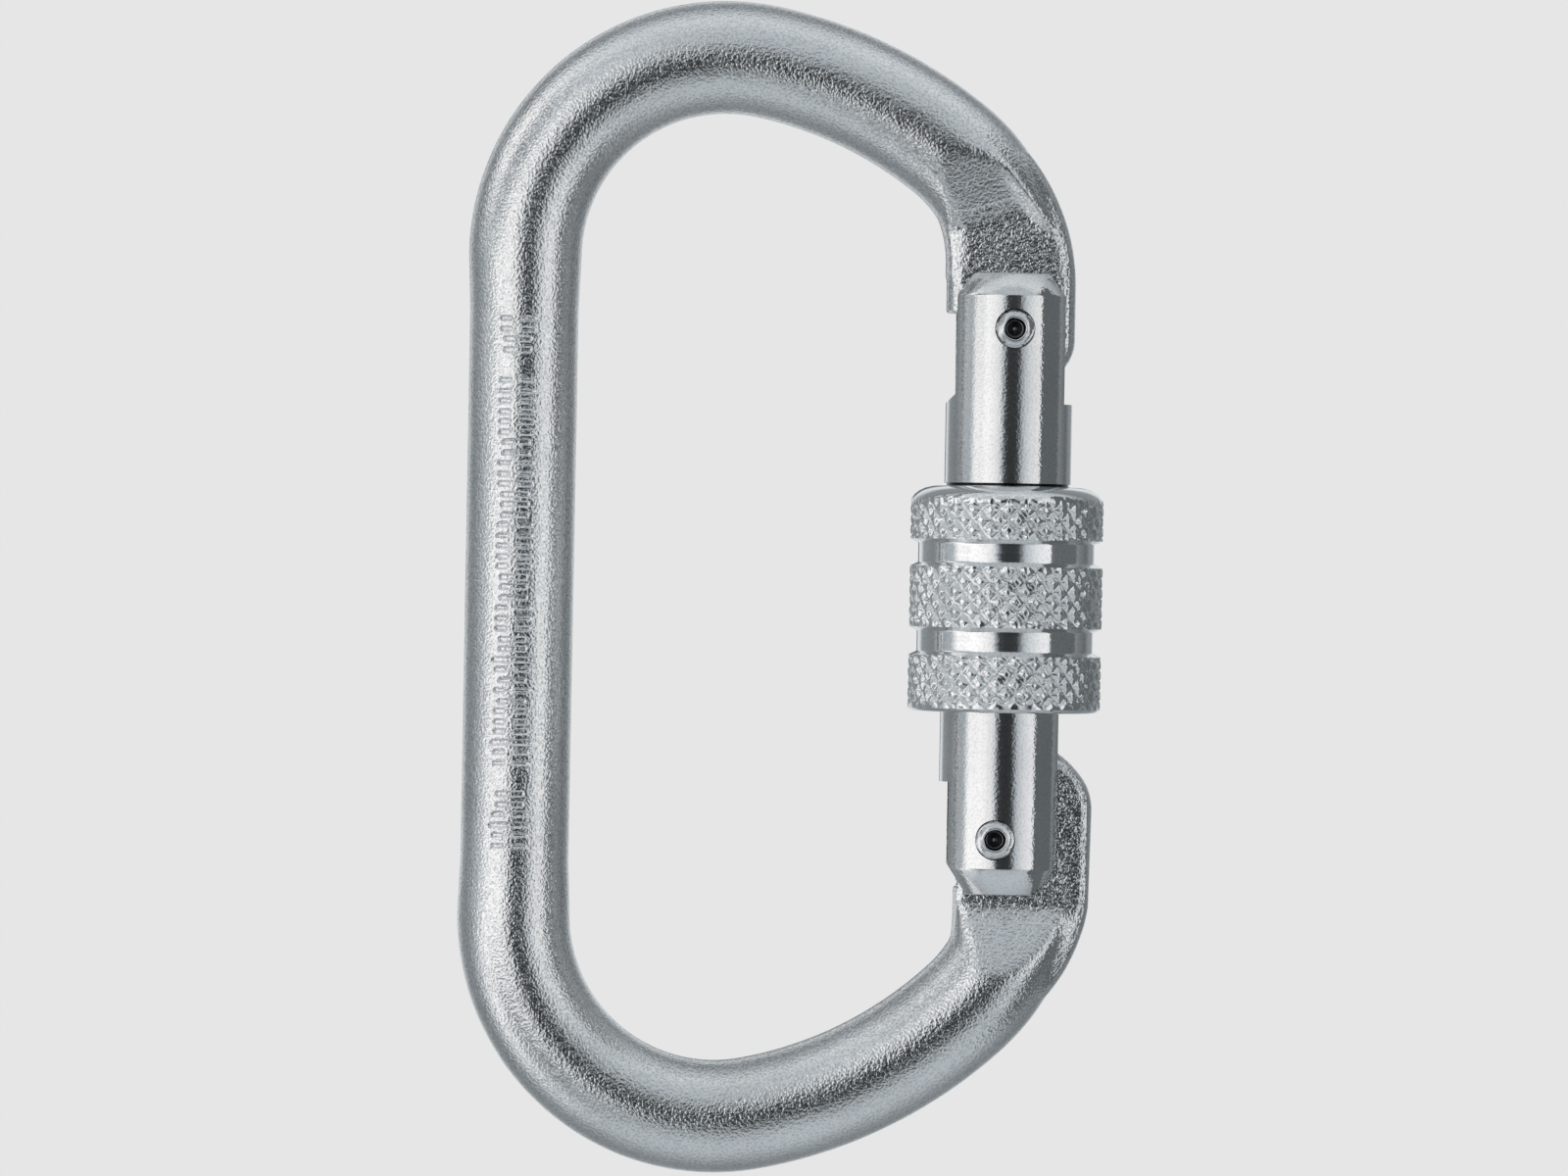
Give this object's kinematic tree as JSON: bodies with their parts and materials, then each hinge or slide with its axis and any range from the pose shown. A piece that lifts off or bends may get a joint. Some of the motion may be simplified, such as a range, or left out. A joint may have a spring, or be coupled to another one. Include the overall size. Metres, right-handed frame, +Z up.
{
  "type": "screw-gate carabiner",
  "caption": "Oval steel carabiner with a sprung gate pinned at both ends and a knurled screw sleeve that locks the gate over the nose.",
  "frame": {"origin": "centre of the whole object's box", "axes": "+Z up the long axis towards the nose end, +X from the spine to the gate, Y through the thickness"},
  "size_m": [0.059, 0.0178, 0.1082],
  "materials": {
    "body": "bright zinc plate over a forged, shot-blasted grain",
    "gate": "bright zinc plate over fine turning",
    "lock_sleeve": "bright zinc plate, diamond knurled bands and smooth grooves",
    "friction_ring": "matt black",
    "latch_pin": "swaged, satin",
    "hinge_pin": "swaged, satin",
    "plunger": "turned",
    "gate_spring": "drawn spring wire"
  },
  "bodies": {
    "frame": {"body": "body"},
    "gate": {"gate": "gate", "latch_pin": "latch_pin", "hinge_pin": "hinge_pin"},
    "follower": {"plunger": "plunger", "gate_spring": "gate_spring"},
    "sleeve_carrier": {"friction_ring": "friction_ring"},
    "sleeve": {"lock_sleeve": "lock_sleeve"}
  },
  "joints": [
    {"name": "gate_hinge", "type": "hinge", "parent": "frame", "child": "gate", "pos_m": [0.0199, 0, -0.0228], "axis": [0, -1, 0], "range_deg": [0, 36], "stiffness_Nm_per_rad": 0.06, "springref_deg": -45.84},
    {"name": "plunger_slide", "type": "slide", "parent": "gate", "child": "follower", "axis": [0, 0, 1], "range_m": [0, 0.00161], "deforming": ["gate_spring"]},
    {"name": "sleeve_travel", "type": "slide", "parent": "gate", "child": "sleeve_carrier", "axis": [0, 0, 1], "range_m": [0, 0.017]},
    {"name": "sleeve_turn", "type": "hinge", "parent": "sleeve_carrier", "child": "sleeve", "pos_m": [0.0206, 0, 0], "axis": [0, 0, 1], "range_deg": [0, 1530.5]}
  ],
  "couplings": [
    {"joint": "plunger_slide", "follows": "gate_hinge", "m_per_rad": 0.002546},
    {"joint": "sleeve_turn", "follows": "sleeve_travel", "rad_per_m": 1570.8}
  ]
}
